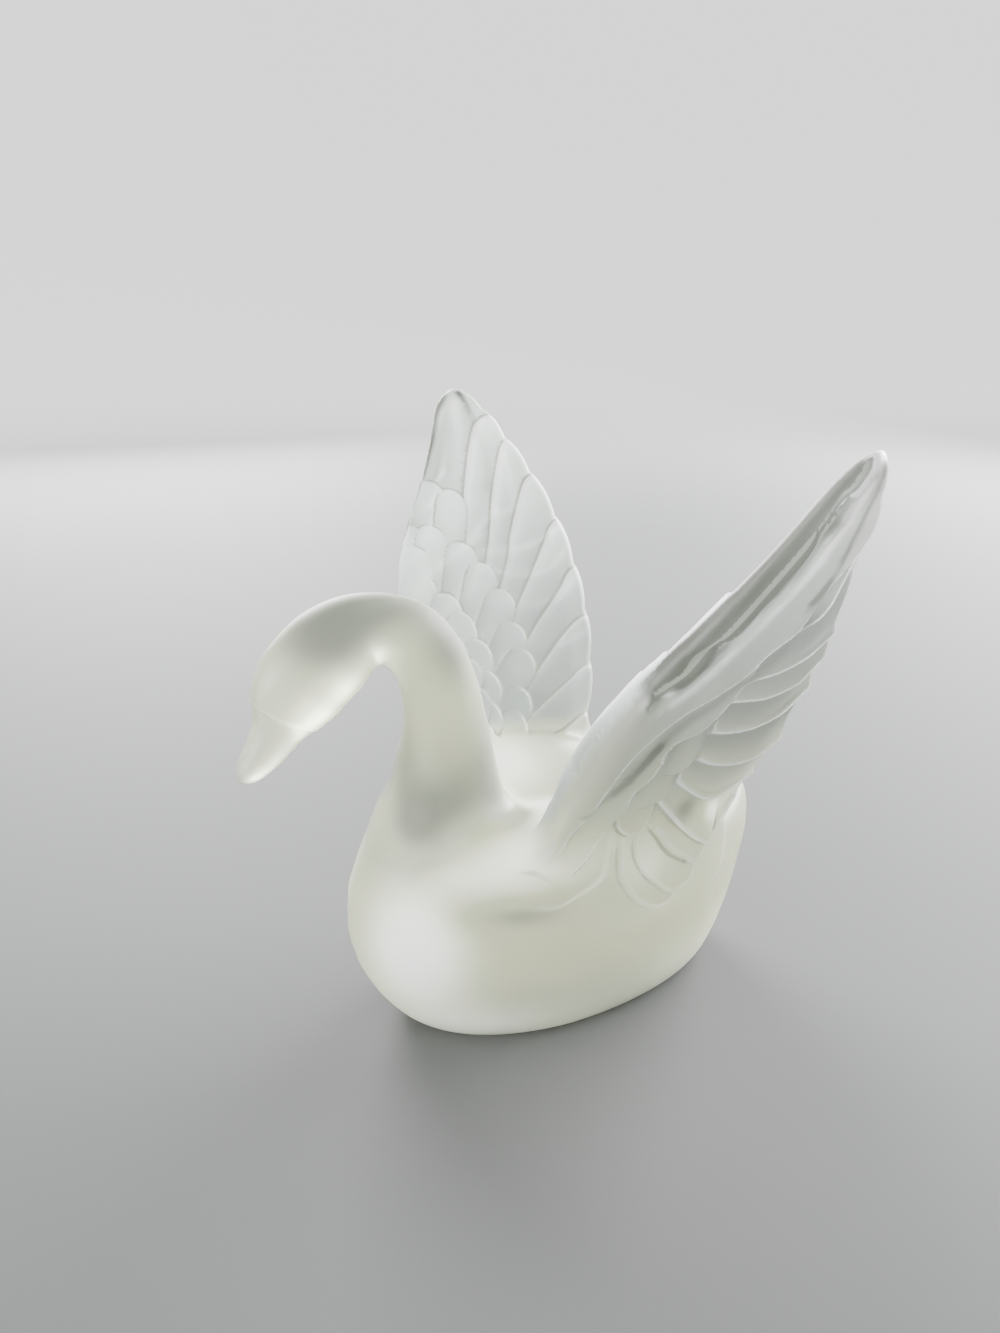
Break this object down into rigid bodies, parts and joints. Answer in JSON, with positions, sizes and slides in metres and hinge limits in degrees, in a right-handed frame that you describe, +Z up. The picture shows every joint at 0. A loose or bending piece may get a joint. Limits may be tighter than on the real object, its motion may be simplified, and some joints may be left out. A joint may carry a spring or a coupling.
{
  "type": "swan figurine",
  "caption": "Solid cast swan figurine in satin-frosted glass, with raised fanned wings, a curved neck and a flat oval foot.",
  "frame": {"origin": "on the table under the middle of the overall box", "axes": "+Z up, the swan looks along -Y, +X towards its left wing"},
  "size_m": [0.1486, 0.1228, 0.1322],
  "materials": {
    "frosted_glass": "satin frosted, pale cream with a faint green cast"
  },
  "bodies": {
    "root": {"swan": "frosted_glass"}
  },
  "joints": []
}
